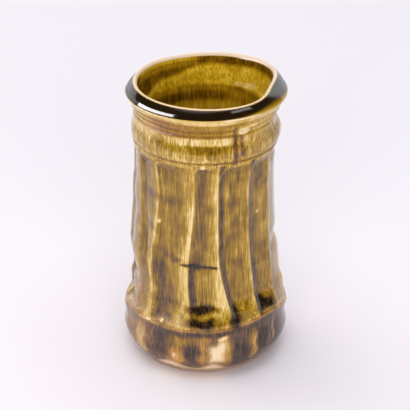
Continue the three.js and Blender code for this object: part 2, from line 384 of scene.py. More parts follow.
def glazed_depth(flute, t, z, azimuth):
    """The cut with its arris rounded, as melted glaze rounds it."""
    shifts = CREST_SOFTNESS * np.array([-1, -0.5, 0, 0.5, 1])
    near = [(flute + np.floor(t + shift).astype(int), (t + shift) % 1) for shift in shifts]
    return sum(flute_depth(cut, share, z, azimuth) for cut, share in near) / len(shifts)


print("flutes:", FLUTES, "columns of points:", COLUMNS)

# %% [markdown]
# The wall's section is a line of rows from the foot to the lip. Each row knows how much it
# follows the ledge, the squeezed mouth and the carving, so that one function can shape every
# skin of the pot.

# %% The section of the wall
NECK_Z, RIM_Z, GLAZE_START_Z = 135.4, 144.7, 2.4
FOOT_RADIUS, BAND_RADIUS, WAIST_RADIUS, COLLAR_RADIUS = 34.6, 43, 36.8, 37.9
NECK_RADIUS, RIM_RADIUS, LIP_RADIUS = 36, 40.7, 37.4
NECK_FLARE = 1.3
EFFECTS = ("ledge", "mouth", "carved", "drifts", "hidden")


def row(r, z, **effects):
    return {"r": r, "z": z, **dict.fromkeys(EFFECTS, 0.0), "drifts": 1.0, **effects}


def curve_rows(points, steps, ledge=lambda z: 0.0, carved=0.0):
    return [row(r, z, ledge=float(ledge(z)), carved=carved) for r, z in smooth_curve(points, steps)]


def band_rows():
    turned = [
        (FOOT_RADIUS + 1, GLAZE_START_Z), (FOOT_RADIUS + 4.2, 5.3), (BAND_RADIUS - 1.5, 9.2),
        (BAND_RADIUS, 14.5), (BAND_RADIUS - 0.7, 23.6), (BAND_RADIUS - 0.2, 28),
    ]
    edge = [(BAND_RADIUS - 0.2, 28), (BAND_RADIUS - 0.15, 28.9), (BAND_RADIUS - 0.3, 29.6)]
    rows = curve_rows(turned, 6, ledge=lambda z: rise(12, 22, z))
    return rows + curve_rows(edge, 2, ledge=lambda z: 1.0)[1:]


def body_rows():
    thrown = [
        (BAND_RADIUS - 0.7, LEDGE_Z + 0.4), (40.9, 35.6), (39.4, 43), (39, 58), (37.9, 78),
        (WAIST_RADIUS, 100), (WAIST_RADIUS, 112), (37, FLUTE_TOP_Z),
    ]
    return curve_rows(thrown, 17, ledge=lambda z: 1 - rise(36, 60, z), carved=1.0)


def collar_rows():
    groove = [(37.1, -1), (37.05, -0.65), (36.86, -0.25), (36.8, 0), (36.9, 0.25), (37.2, 0.55)]
    cut_line = [row(r, CUT_LINE_Z + up) for r, up in groove]
    swelling = [
        (37.35, CUT_LINE_Z + 0.8), (37.8, CUT_LINE_Z + 3), (COLLAR_RADIUS, 126.3), (37.55, 129),
        (37.1, 131.2), (NECK_RADIUS + 0.8, NECK_Z - 1.4), (NECK_RADIUS + 0.6, NECK_Z - 0.8),
        (NECK_RADIUS + 0.3, NECK_Z - 0.55),
    ]
    return cut_line + curve_rows(swelling, 5)


def groove_valleys():
    """Three throwing grooves climb the underside of the rim, which flares late."""
    shares = np.arange(3) / 3
    r = NECK_RADIUS + (RIM_RADIUS - 1.1 - NECK_RADIUS) * shares**NECK_FLARE
    return list(zip(r, NECK_Z + (RIM_Z - 1.2 - NECK_Z) * shares))


def neck_rows():
    points = [point for r, z in groove_valleys() for point in ((r, z), (r + 1.2, z + 1.3))]
    return curve_rows(points + [(RIM_RADIUS - 0.5, RIM_Z - 0.9)], 5)


def rim_rows():
    outline = [
        (RIM_RADIUS - 0.12, RIM_Z - 0.5, 0), (RIM_RADIUS, RIM_Z, 0),
        (RIM_RADIUS - 0.45, RIM_Z + 0.8, 0.1), (LIP_RADIUS + 2.4, LIP_Z - 2.7, 0.55),
        (LIP_RADIUS + 1.0, LIP_Z - 0.7, 1), (LIP_RADIUS, LIP_Z, 1), (LIP_RADIUS - 0.9, LIP_Z - 0.4, 1),
        (LIP_RADIUS - 1.6, LIP_Z - 1.8, 1),
    ]
    rows = [row(r, z, mouth=float(mouth)) for r, z, mouth in smooth_curve(outline, 5)]
    return rows + [row(LIP_RADIUS - 1.62, LIP_Z - 1.85, mouth=1.0)]


outer_rows = band_rows() + body_rows() + collar_rows() + neck_rows() + rim_rows()
print("rows up the outside:", len(outer_rows))

# %% [markdown]
# Under the glaze lies the face that the clay and the coat share, set in by the coat's thickness.
# It needs far fewer rows, because nobody sees it. Both skins end at the same edge inside the lip.

# %% The face under the glaze
GLAZE_COAT, LINER_COAT, COAT_JOINT = 0.7, 0.6, 0.1


def lip_edge(coat):
    return row(LIP_RADIUS - 1.8 + coat, LIP_Z - 2 - coat, mouth=1.0)


def bond_rows():
    rows = [
        row(FOOT_RADIUS + 1.5, GLAZE_START_Z + 0.7), row(BAND_RADIUS - 1.5, 9.2),
        row(BAND_RADIUS - 0.2, 16, ledge=float(rise(12, 22, 16))),
        row(BAND_RADIUS - 0.6, LEDGE_Z - 1.4, ledge=1.0),
    ]
    rows += body_rows()[::4]
    rows += [
        row(36.5, CUT_LINE_Z), row(COLLAR_RADIUS - 0.2, 126.6), row(COLLAR_RADIUS - 0.6, 131.5),
        *[row(r, z) for r, z in groove_valleys()],
        row(RIM_RADIUS - 0.6, RIM_Z), row(LIP_RADIUS + 0.9, LIP_Z - 1.5, mouth=0.95),
    ]
    return [{**each, "r": each["r"] - GLAZE_COAT, "hidden": 1.0} for each in rows]


print("rows under the glaze:", len(bond_rows()))

# %% [markdown]
# Spinning a whole section step by step is slow. It is quicker to spin the width of one flute,
# copy that wedge round fourteen times and merge the seams. Float layers on the first points
# carry each row's effects along.

# %% Throw a section on the wheel
def throw(name, rows, closed):
    bm = bmesh.new()
    layers = {effect: bm.verts.layers.float.new(effect) for effect in EFFECTS}
    points = []
    for each in rows:
        point = bm.verts.new((0, -each["r"] * MM, each["z"] * MM))
        for effect, layer in layers.items():
            point[layer] = each[effect]
        points.append(point)
    pairs = list(zip(points, points[1:])) + [(points[-1], points[0])] * closed
    edges = [bm.edges.new(pair) for pair in pairs]
    wheel = dict(cent=(0, 0, 0), axis=(0, 0, 1))
    bmesh.ops.spin(
        bm, geom=points + edges, angle=2 * math.pi / FLUTES, steps=COLUMNS_PER_FLUTE,
        use_merge=False, **wheel,
    )
    wedge = bm.verts[:] + bm.edges[:] + bm.faces[:]
    bmesh.ops.spin(
        bm, geom=wedge, angle=2 * math.pi, steps=FLUTES, use_duplicate=True, use_merge=False, **wheel
    )
    bmesh.ops.remove_doubles(bm, verts=bm.verts, dist=0.001 * MM)
    bmesh.ops.recalc_face_normals(bm, faces=bm.faces)
    for face in bm.faces:
        face.smooth = True
    return mesh_from(bm, name)


def read(mesh, effect):
    values = np.empty(len(mesh.vertices), np.float32)
    mesh.attributes[effect].data.foreach_get("value", values)
    return values.astype(float)


print("wedge of", COLUMNS_PER_FLUTE, "columns, copied", FLUTES, "times")

# %% [markdown]
# Carving moves the thrown points. Columns first slide sideways so that they follow the wandering
# arrises, crowded near each crest where the surface turns fastest. Then each point is pushed in
# by the cut, lifted with the ledge and drawn in with the mouth.

# %% Carve, squeeze and shift the wall
SETTLES_OVER = (4, 24)


def carve(mesh, marks=None):
    places = np.empty(len(mesh.vertices) * 3, np.float32)
    mesh.vertices.foreach_get("co", places)
    places = places.reshape(-1, 3).astype(float) / MM
    r, z = np.hypot(places[:, 0], places[:, 1]), places[:, 2]
    effect = {name: read(mesh, name) for name in EFFECTS}
    turned = np.degrees(np.arctan2(places[:, 0], -places[:, 1])) % 360
    column = np.rint(turned * COLUMNS / 360) % COLUMNS
    flute, step = np.divmod(column, COLUMNS_PER_FLUTE)
    flute = flute.astype(int)
    share = step / COLUMNS_PER_FLUTE
    t = share - CREST_CROWDING * np.sin(2 * np.pi * share) / (2 * np.pi)
    even = ARRISES[0]["waist"] + 360 * column / COLUMNS
    following = arris_azimuth(flute, z) * (1 - t) + arris_azimuth(flute + 1, z) * t
    beyond = np.maximum(LEDGE_Z - z, z - FLUTE_TOP_Z)
    settle = rise(*SETTLES_OVER, beyond) * (1 - effect["carved"])
    azimuth = following * (1 - settle) + even * settle
    height = z + effect["ledge"] * ledge_lift(azimuth) + rise(NECK_Z, RIM_Z, z) * mouth_lift(azimuth)
    cut = effect["carved"] * glazed_depth(flute, t, height, azimuth)
    radius = r + effect["mouth"] * mouth_squeeze(azimuth) + pressed(azimuth, height) - cut
    if marks is not None:
        radius = radius + marks(azimuth, height) * (1 - effect["hidden"])
    axis = r < 0.01
    radius[axis] = 0
    side = np.where(axis, 0, effect["drifts"] * drift(z))
    angle = np.radians(azimuth)
    shaped = np.stack([side + radius * np.sin(angle), -radius * np.cos(angle), height], 1)
    mesh.vertices.foreach_set("co", (shaped * MM).astype(np.float32).ravel())
    for name in EFFECTS:
        mesh.attributes.remove(mesh.attributes[name])
    mesh.update()
    return dict(
        flute=flute, t=t, azimuth=azimuth, front=turn_between(0, azimuth), z=height, row_z=z, r=r,
        carved=effect["carved"],
    )


print("columns even out over", SETTLES_OVER[1], "mm")

# %% [markdown]
# Each finished mesh becomes a piece of the assembly. It rides on the pot's one body and takes
# the place of the plain solid of the imported model.

# %% Put a piece in its place
def add_piece(name, mesh, node):
    piece = put(name, mesh)
    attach(piece, "root")
    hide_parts(node)
    print(name, len(mesh.polygons), "faces")
    return piece


# %% [markdown]
# The kiln left its marks: two runs of glaze under the rim, beads, and the crack across the front
# where the glaze crawled. Each stands or sinks by a millimetre or two at most, and the lists are
# kept, because the finish is painted from them too.

# %% Beads, runs and the crawl across the front
BEADS = table(
    "azimuth z width height stands",
    (28.8, 137.3, 2.9, 1.8, 2), (37, 139.4, 2.2, 0.8, 0.9), (-2.5, 119, 0.9, 0.8, 0.4),
    (-38.3, 86, 1.1, 0.9, 0.5), (48.9, 88.6, 0.6, 0.6, 0.35), (69.6, 58.7, 0.8, 1, 0.5),
    (-34.5, 30.9, 0.8, 0.7, 0.7),
)
RUNS = table(
    "azimuth top bottom width stands",
    (22.6, 140, 119.5, 1.25, 0.3), (27.8, 137, 124, 1, 0.25),
)
# Where the lump's painted shade lies.
AROUND_LUMP = dict(azimuth=29, z=136.6, width=5, height=2.6)
CRAWL = dict(starts=(-20, -14), ends=(8, 12), z=63.7, slope=-0.06, width=0.45, sinks=0.5)
POOLED = dict(start=-13, end=60, soft=9, reach=13, stands=1.0)
WALL_RADIUS = 38


def across(mark, azimuth):
    """How far off a mark's middle a point is, in widths of the mark."""
    return np.radians(turn_between(mark["azimuth"], azimuth)) * WALL_RADIUS / mark["width"]


def bead_mask(bead, azimuth, z):
    return hill(across(bead, azimuth), 0, 1) * hill(z, bead["z"], bead["height"])


def run_mask(run, azimuth, z):
    starts = 1 - rise(run["top"] - 1, run["top"] + 1, z)
    ends = rise(run["bottom"] - 1.5, run["bottom"] + 1.5, z)
    return np.exp(-(across(run, azimuth) ** 4)) * starts * ends


def crawl_mask(azimuth, z):
    line = CRAWL["z"] + CRAWL["slope"] * azimuth
    there = rise(*CRAWL["starts"], azimuth) * (1 - rise(*CRAWL["ends"], azimuth))
    return hill(z, line, CRAWL["width"]) * there


def pooled(azimuth, z):
    """Glaze that ran down and filled the scoops at the front, thickest just above the ledge."""
    up = z - LEDGE_Z - ledge_lift(azimuth)
    there = between(azimuth, POOLED["start"], POOLED["end"], POOLED["soft"])
    return there * rise(0, 2, up) * np.clip(1 - up / POOLED["reach"], 0, 1)


def kiln_marks(azimuth, z):
    """How far the glaze stands off its smooth coat, in millimetres."""
    front = turn_between(0, azimuth)
    stands = sum(bead["stands"] * bead_mask(bead, azimuth, z) for bead in BEADS)
    stands = stands + sum(run["stands"] * run_mask(run, azimuth, z) for run in RUNS)
    return stands + POOLED["stands"] * pooled(front, z) - CRAWL["sinks"] * crawl_mask(front, z)


print("the lump stands", BEADS[0]["stands"], "mm high")

# %% [markdown]
# The glaze coat is the first piece: a closed skin from the foot over the lip on its shown side,
# and back down the face that it shares with the clay.

# %% The glaze coat
outer_rows += [*bond_rows(), lip_edge(LINER_COAT)][::-1]
outer_mesh = throw("glaze coat", outer_rows, closed=True)
outer_wall = carve(outer_mesh, kiln_marks)
outer_glaze = add_piece("glaze_coat", outer_mesh, "outer_glaze")

# %% [markdown]
# An ash glaze takes its colour from its thickness: a trace of it on an arris fires cream, a coat
# is olive gold, and where it ran and pooled it is brown to black. So the finish is painted as a
# few numbers for each point. Depth is the glaze's thickness, and in places it also carries painted
# light and shade. Iron says where the dark parts turn purple, bloom where the glaze broke to a
# pale, pinkish cream and where a painted highlight or reflection lies, streaks how strongly it
# ran, and matt where it dried dull.

# %% Kinds of paint, and spots of it
PAINTS = ("depth", "iron", "bloom", "streaks", "matt")
WANDER = 0.9


def lay(under, over, mask):
    return under * (1 - mask) + over * mask


def mix_paints(like, **values):
    """One value of each paint for every point. What isn't named is none."""
    return {name: np.zeros_like(like) + values.get(name, 0.0) for name in PAINTS}


def lay_paints(paint, values, mask):
    for name, value in zip(PAINTS, values):
        paint[name] = lay(paint[name], value, mask)


def lay_spots(paint, spots, wall, power):
    """Lay each oval over the paint. Its edge wanders a little, and a high power makes it crisp."""
    azimuth = wall["azimuth"] + WANDER * np.sin(0.7 * wall["z"] + 0.2 * wall["azimuth"])
    z = wall["z"] + WANDER * np.sin(0.31 * wall["azimuth"] + 0.25 * wall["z"])
    for middle, middle_z, width, height, depth, *others in spots:
        aside = np.abs(turn_between(middle, azimuth)) / width
        up = np.abs(z - middle_z) / height
        iron, bloom = (*others, 0, 0)[:2]
        lay_paints(paint, (depth, iron, bloom), np.exp(-(aside**power) - up**power))


print("paints:", PAINTS)

# %% [markdown]
# On the flutes the glaze ran off each arris and gathered in the steep side of the cut, so a dark
# stripe follows the right of an arris and a gold one its left. Both change at the crawl that
# crosses the front, which is why each has a row for above it and one for below. A dark stripe is
# its strength, where it starts and ends across the flute, and how soft it is. A gold one is its
# strength and its width.

# %% The stripes beside each arris
DARK_STRIPES = {
    "above": (
        (0.15, 0.1, 0.3, 0.1), (0.1, 0.1, 0.3, 0.1), (0.6, 0.12, 0.52, 0.1), (0.9, 0.03, 0.17, 0.04),
        (0.85, 0.03, 0.19, 0.04), (0.1, 0.1, 0.3, 0.1), (0.6, 0.03, 0.2, 0.04), (0.4, 0.1, 0.3, 0.1),
        (0.7, 0.03, 0.16, 0.04), (0.3, 0.1, 0.4, 0.1), (0.8, 0.03, 0.2, 0.04), (0.4, 0.1, 0.3, 0.1),
        (0.6, 0.03, 0.2, 0.04), (0.2, 0.1, 0.3, 0.1),
    ),
    "below": (
        (0.2, 0.1, 0.4, 0.1), (0.8, 0.03, 0.42, 0.1), (0.9, 0.03, 0.21, 0.03), (0.95, 0.02, 0.21, 0.04),
        (0.95, 0, 0.3, 0.04), (0.3, 0.1, 0.4, 0.1), (0.9, 0.03, 0.22, 0.04), (0.7, 0.04, 0.3, 0.06),
        (0.9, 0.03, 0.18, 0.03), (0.6, 0.05, 0.35, 0.06), (0.95, 0.03, 0.22, 0.04), (0.7, 0.05, 0.3, 0.06),
        (0.9, 0.03, 0.2, 0.04), (0.5, 0.05, 0.3, 0.08),
    ),
}
GOLD_STRIPES = {
    "above": (
        (0.1, 0.2), (0.6, 0.25), (1, 0.4), (1, 0.5), (0.32, 0.16), (0.5, 0.15), (0.8, 0.3),
        (0.6, 0.3), (0.9, 0.3), (0.5, 0.2), (0.9, 0.4), (0.6, 0.2), (0.8, 0.3), (0.4, 0.2),
    ),
    "below": (
        (0.1, 0.3), (1, 0.95), (1, 0.4), (1, 0.55), (0.6, 0.35), (0.1, 0.1), (0.9, 0.4),
        (0.8, 0.3), (1, 0.4), (0.7, 0.3), (1, 0.5), (0.8, 0.3), (0.9, 0.4), (0.6, 0.3),
    ),
}
CRAWL_CHANGE = (60, 70)


def blend_stripes(stripes, field, flute, high):
    below, above = (per_flute(field, flute, stripes[part]) for part in ("below", "above"))
    return lay(below, above, high)


print("stripes change at", CRAWL_CHANGE, "mm")

# %% [markdown]
# What the stripes don't say is a list of ovals: darker clouds in the flutes, amber where the
# glaze is thin, and the black pools that filled the scoops on the ledge. The front pool is
# painted as two dark bands with a paler streak between them, a painted reflection of the
# bright ceiling, and a grey lilac oval on the left flank is a painted reflection of the pale
# paper. An oval is its azimuth, height, width and tallness, and then its depth, with iron and
# bloom where it has them.

# %% Spots and pools on the flutes
FLUTE_SPOTS = (
    (-28, 98.2, 9, 2.6, 0.7, 0.6), (-49, 99.3, 9, 2.8, 0.7, 0.6), (-37, 70.5, 5, 1.8, 0.7, 0.6),
    (-30, 68.3, 5, 1.4, 0.74, 0.6), (-22.5, 66.3, 5, 1.1, 0.76, 0.6), (-6, 64.2, 5.5, 1.2, 1, 0.6),
    (24, 79, 4, 3, 0.66, 0.5), (43.5, 47, 3, 8, 0.74, 0.8), (54, 50, 5, 9, 0.56, 0.3),
    (29, 92, 3, 4, 0.38), (27, 72, 3, 4, 0.38), (47, 72, 4, 3, 0.64, 0.5),
    (-20, 85, 5, 6, 0.58, 0.3), (1, 95, 4, 9, 0.6, 0.4), (-24, 52, 3, 6, 0.4), (5, 55, 4, 4, 0.42),
    (-46.5, 81.6, 5, 2, 0.68, 0.5), (23.5, 97.7, 3.5, 4.5, 0.7, 0.6), (24.5, 87, 3, 4, 0.66, 0.5),
    (18.4, 104, 2.5, 6, 0.34), (20.5, 89.3, 2, 5, 0.34), (49, 107, 4, 5, 0.74, 0.6),
    (54, 91.3, 3, 6, 0.36), (46, 84, 4, 4, 0.66, 0.5), (-11.5, 107, 4, 13, 0.42, 0.1),
    (-2, 74, 6, 3, 0.62, 0.4), (27, 60, 5, 4, 0.6, 0.4), (-29, 43, 6, 9, 0.62, 0.6),
    (-20, 33, 5, 4, 0.3, 0, 0.1), (-33, 33, 4.5, 3, 0.7, 0.9), (-50.5, 47, 4.5, 15, 0.2),
    # At azimuth -67 a grey lilac oval is a painted reflection of the pale paper on the left flank.
    (-44, 45, 1.8, 14, 0.44, 0.3), (-67, 42, 9, 17, 0.56, 1, 0.3), (150, 92, 9, 4, 0.72, 0.6),
    (-120, 76, 10, 3, 0.72, 0.6), (185, 55, 9, 5, 0.36),
)
POOLS_AND_PAINTED_REFLECTION = (
    # The first two rows paint the front pool: dark glaze, with a paler streak that is a painted reflection
    # of the ceiling.
    (-0.5, 36.2, 14, 4.5, 0.62), (3.5, 36, 8, 1.1, 0.42), (10, 38.5, 4, 5.5, 0.22),
    (-3, 39.4, 11, 2.3, 1, 0.3), (-3, 32.4, 10.5, 2.2, 1, 0.3), (9, 32.2, 4.5, 1.6, 0.55),
    (21.8, 35, 5.2, 5, 1, 0.4), (31, 36.5, 5.5, 4.2, 0.52), (37, 38, 2, 4, 0.36),
    (46, 37.8, 5.5, 4.4, 1, 0.4), (53, 37, 6, 3.2, 1, 0.4), (52.5, 41, 2.2, 1.6, 0.56),
    (112, 34, 11, 4, 1, 0.5), (157, 35, 9, 4.5, 1, 0.5), (-157, 35, 10, 4, 1, 0.5),
    (-112, 34, 9, 3, 1, 0.5),
)
print("spots on the flutes:", len(FLUTE_SPOTS), "pools:", len(POOLS_AND_PAINTED_REFLECTION))

# %% [markdown]
# One function lays it all on a flute: the shade in the steep side, the gold that breaks towards
# the next arris, the cream line on each crest, the pale line under each arch with a darker sag
# below it, and the thin edge of the ledge. The crests and a few scoops dried a little dull.

# %% Paint the flutes
GLAZE_IN_FLUTE, GLAZE_ON_CREST, GLAZE_ON_GOLD = 0.52, 0.06, (0.14, 0.23)


def dull_on_flutes(wall, alive):
    """Where the flutes dried dull: two stretches of scoops at the front, and every crest."""
    front, z = wall["front"], wall["z"]
    left = between(front, -62, -15, 3) * (1 - rise(38, 43, z))
    right = between(front, 25, 35, 2) * (1 - rise(36, 37.5, z))
    crests = 0.7 * alive * (1 - between(wall["t"], 0.04, 0.92, 0.03))
    return np.clip(left + right + crests, 0, 1)


def paint_flutes(wall):
    t, z, flute = wall["t"], wall["z"], wall["flute"]
    high = rise(*CRAWL_CHANGE, z)
    strength, start, end, soft = (blend_stripes(DARK_STRIPES, field, flute, high) for field in range(4))
    shade = strength * between(t, start, end, soft)
    gold, width = (blend_stripes(GOLD_STRIPES, field, flute + 1, high) for field in range(2))
    here = blend_stripes(GOLD_STRIPES, 0, flute, high)
    under_arch = flute_top(flute, t) - z
    alive = rise(-1, 5, under_arch)
    depth = GLAZE_IN_FLUTE + 0.04 * between(flute + t, 3.2, 5, 0.2) - 0.08 * rise(0.4, 0.9, t)
    depth = depth + 0.25 * shade
    breaking = alive * 0.85 * gold * rise(1 - width, 1 - 0.15 * width, t) ** 1.5
    depth = lay(depth, lay(*GLAZE_ON_GOLD, high), breaking)
    settled = 1 - 0.8 * (1 - rise(36, 46, z)) * (flute <= 1)
    crest = gold * rise(0.90, 0.98, t) + here * (1 - rise(0.0, 0.03, t))
    depth = lay(depth, GLAZE_ON_CREST, alive * settled * np.clip(crest, 0, 1))
    depth = lay(depth, 0.22, 0.7 * hill(under_arch, 0.2, 0.9))
    depth += 0.08 * rise(0.8, 2.5, under_arch) * (1 - rise(3, 9, under_arch))
    up = z - LEDGE_Z - ledge_lift(wall["azimuth"])
    depth = lay(depth, 0.2, 0.6 * hill(up, 0.8, 0.8))
    matt = dull_on_flutes(wall, alive)
    return mix_paints(z, depth=depth, iron=0.1 + 0.6 * shade, streaks=0.8, matt=matt)


print("depth in a flute:", GLAZE_IN_FLUTE)

# %% [markdown]
# The band under the ledge is the busiest place. The thick roll of glaze fired purple brown and
# ran, and where it broke it left amber patches with a cream heart. Below it the foot was wiped,
# which leaves a peach stripe.

# %% Paint the band under the ledge
BAND_SPOTS = (
    (-16, 22.3, 14, 2.6, 0.54, 0.2), (-53, 17, 5, 8, 0.32, 0.8, 0.25),
    (-45.5, 19, 1.5, 7, 0.56, 1), (-50, 12.5, 4, 3.5, 0.36, 0.2, 0.1),
    (-35, 20.5, 6, 8.5, 0.86, 1), (-40.5, 21, 0.8, 5, 0.5, 0.8), (-20, 20, 2.4, 4.5, 0.44, 0.2),
    (-21, 13.4, 7, 4.6, 0.28, 1), (-16, 13.8, 1.4, 3.5, 0.3, 0.6),
    (-22.5, 14.2, 1, 0.8, 0.1, 0, 0.7), (-10.2, 15.5, 5, 7, 0.87, 1),
    (-1.2, 17, 3.4, 7.5, 0.38, 0.8), (0, 24, 4, 2, 0.46, 0.5), (14.8, 16, 3.4, 8, 0.34, 0.7),
    (7.4, 15.3, 4.8, 5.4, 0.04, 0, 0.7), (10.4, 20.2, 2.6, 3.2, 0.04, 0, 0.7),
    (12, 24.2, 4.2, 1, 0.02, 0, 0.3), (26, 14, 6.5, 11, 0.88, 1),
    (36.6, 17.5, 1.5, 8, 0.33, 0.4, 0.05), (33.6, 17.5, 1.2, 8, 0.48, 0.2),
    (44, 18, 5.5, 9, 0.88, 1), (58, 17, 6.5, 9, 0.95, 1), (54.5, 21, 1.4, 6, 0.5, 0.5, 0.1),
    (120, 16, 6, 6, 0.1, 0, 0.8), (-150, 15, 7, 6, 0.2, 0, 0.5),
)


def paint_band(wall):
    row_z, front = wall["row_z"], wall["front"]
    depth = 0.73 + 0.12 * hill(row_z, 26.4, 1.5)
    depth -= 0.18 * rise(-150, -110, front) * (1 - rise(-58, -40, front))
    depth = lay(depth, 0.3, 0.85 * hill(row_z, 29.2, 0.7))
    return mix_paints(row_z, depth=depth, iron=0.9, streaks=0.65)


def wipe_foot(paint, wall):
    """The sponge reached higher in two places at the front."""
    wide = np.clip(swell(wall["azimuth"], -26, 14) + swell(wall["azimuth"], 6, 10), 0, 1)
    top = GLAZE_START_Z + 6.4 * wide
    wiped = 0.85 * (1 - rise(top - 1.8, top + 1.8, wall["row_z"]))
    for name, left in (("depth", 0.1), ("bloom", 0.45 + 0.3 * wide), ("streaks", 0.3)):
        paint[name] = lay(paint[name], left, wiped)


print("spots on the band:", len(BAND_SPOTS))

# %% [markdown]
# Above the flutes the glaze is thin and bright, with hair-fine streaks. It gathered to an olive
# patch on the collar's shoulder, in the cut line and in the throwing grooves of the neck. At the
# left the neck dried greyer and a little dull, and at the right it stayed pale. Under the rim at
# the front the neck is painted darker, a painted shade.

# %% Paint the collar and the neck
GROOVES_AT = (135.2, 138.1, 140.9)


def paint_collar(wall):
    z, front = wall["row_z"], wall["front"]
    right = rise(12, 30, front) * (1 - rise(110, 160, front))
    thin = 0.22 * rise(128.5, 132, z) + 0.06 * (1 - rise(121.5, 125, z))
    depth = 0.34 + 0.06 * right - thin * (1 - 0.7 * right)
    left = swell(front, -36, 14) * between(z, 127, 133, 1.5)
    olive = np.exp(-(((front + 2) / 21) ** 4)) * rise(125.6, 128, z) * (1 - rise(130, 131.2, z))
    cut = hill(z, CUT_LINE_Z + 0.1, 0.8)
    grooves = np.clip(sum(hill(z, groove, 0.7) for groove in GROOVES_AT), 0, 1)
    greyed = swell(front, -33, 18) * between(z, 134, 143, 1.5)
    # Painted shade under the rim, at the front of the neck.
    shaded = between(front, -24, 17, 7) * between(z, 134.8, 140.5, 1.2)
    pale = between(front, 31, 120, 7) * between(z, 133, 144, 1.5)
    for over, mask in (
        (0.55, 0.6 * left), (0.57, olive), (0.62, 0.7 * cut),
        (0.22, 0.6 * hill(z, CUT_LINE_Z - 1.4, 0.6)), (0.6, 0.65 * grooves),
        (0.62, 0.6 * greyed), (0.52, 0.85 * shaded), (0.2, 0.6 * pale),
    ):
        depth = lay(depth, over, mask)
    iron = np.clip(0.05 + 0.4 * grooves * (1 - 0.7 * pale) + 0.4 * cut + greyed, 0, 1)
    veil = 0.6 * swell(front, -50, 16) * between(z, 133, 144, 1.5)
    streaks = lay(1.0, 0.4, rise(133, 135, z))
    return mix_paints(z, depth=depth, iron=iron, streaks=streaks, matt=np.clip(cut + veil, 0, 1))


print("grooves of the neck at", GROOVES_AT, "mm")

# %% [markdown]
# The bevel of the rim holds a black roll of glaze between two edges where it ran thin: a gold
# line below, which widens to amber at the right, and the cream lip above. On the gold line at the
# right of the front lies a pale pink painted highlight, in place of a lamp's reflection.

# %% Paint the rim
def paint_rim(wall):
    z, front = wall["row_z"], wall["front"]
    inner = wall["r"] < LIP_RADIUS + 0.1
    lip = np.where(inner, rise(LIP_Z - 1.6, LIP_Z - 1, z), rise(LIP_Z - 0.55, LIP_Z - 0.25, z))
    back = rise(60, 110, np.abs(front))
    amber = 2.8 * swell(front, 55, 24)
    # Painted highlight: the rim's edge at the right of the front is painted pale pink and cream.
    painted_highlight = between(z, RIM_Z - 0.6, RIM_Z + 0.2, 0.2) * between(front, 13, 38, 4)
    depth = lay(0.18, 1.0, rise(RIM_Z + 0.1 - 0.3 * amber, RIM_Z + 0.4 + amber, z))
    depth = np.where(inner, 0.6, lay(depth, 0.0, painted_highlight))
    # The lip's cream is thin glaze; towards the back its bloom grows as a painted highlight.
    bloom = (0.25 + 0.7 * back) * lip + 0.8 * painted_highlight
    return mix_paints(z, depth=lay(depth, 0.04, lip), bloom=bloom, streaks=0.12, matt=0.8 * lip * inner)


print("the black roll starts at", RIM_Z, "mm")

# %% [markdown]
# The four zones are put together, the ovals are laid over them, and the marks of the kiln come
# last, from the lists that shaped them. A darker ring round the lump is its painted shade, and the
# beads' cream is partly painted glints. The mesh keeps one number of each paint for every point.

# %% Paint the outside
LUMP_PAINTED_SHADE, RUN_PAINT = (0.55, 0.8, 0.0), (0.68, 1.0, 0.0)
BEAD_CREAM_AND_GLINT, CRAWL_PAINT = (0.0, 0.0, 0.1), (1.0, 0.6, 0.0)


def paint_outside(wall):
    row_z, carved = wall["row_z"], wall["carved"] > 0.5
    zones = (
        (carved, paint_flutes(wall)), (~carved & (row_z < LEDGE_Z + 0.3), paint_band(wall)),
        (row_z > RIM_Z - 0.7, paint_rim(wall)), (row_z > LEDGE_Z, paint_collar(wall)),
    )
    where = [place for place, _ in zones]
    paint = {name: np.select(where, [zone[name] for _, zone in zones]) for name in PAINTS}
    for spots, power in ((FLUTE_SPOTS, 2), (POOLS_AND_PAINTED_REFLECTION, 3), (BAND_SPOTS, 4)):
        lay_spots(paint, spots, wall, power)
    wipe_foot(paint, wall)
    azimuth, z = wall["azimuth"], wall["z"]
    # Painted shade: a darker, purple ring round the lump.
    lay_paints(paint, LUMP_PAINTED_SHADE, 0.8 * bead_mask(AROUND_LUMP, azimuth, z))
    for run in RUNS:
        lay_paints(paint, RUN_PAINT, 0.95 * run_mask(run, azimuth, z))
    # Each bead is painted cream: thin glaze on a bump, and partly a painted glint.
    for bead in BEADS:
        lay_paints(paint, BEAD_CREAM_AND_GLINT, np.clip(2 * bead_mask(bead, azimuth, z), 0, 1))
    lay_paints(paint, CRAWL_PAINT, np.clip(2.2 * crawl_mask(wall["front"], z), 0, 1))
    paint["depth"] = np.clip(paint["depth"], 0, 1)
    return paint


def keep_paint(mesh, paint):
    for name, values in paint.items():
        layer = mesh.attributes.new(name, "FLOAT", "POINT")
        layer.data.foreach_set("value", np.asarray(values, np.float32))


paint = paint_outside(outer_wall)
keep_paint(outer_mesh, paint)
print("mean glaze depth outside:", round(float(paint["depth"].mean()), 2))

# %% [markdown]
# Inside stands the liner, a thin skin of the same glaze on the wall and floor of the well. Its
# shown face is a smooth, fine curve that starts inside the outer coat, so that no joint shows at
# the lip. Its hidden face is plain.

# %% The liner
WELL_RADIUS, FLOOR_Z = 31.5, 9


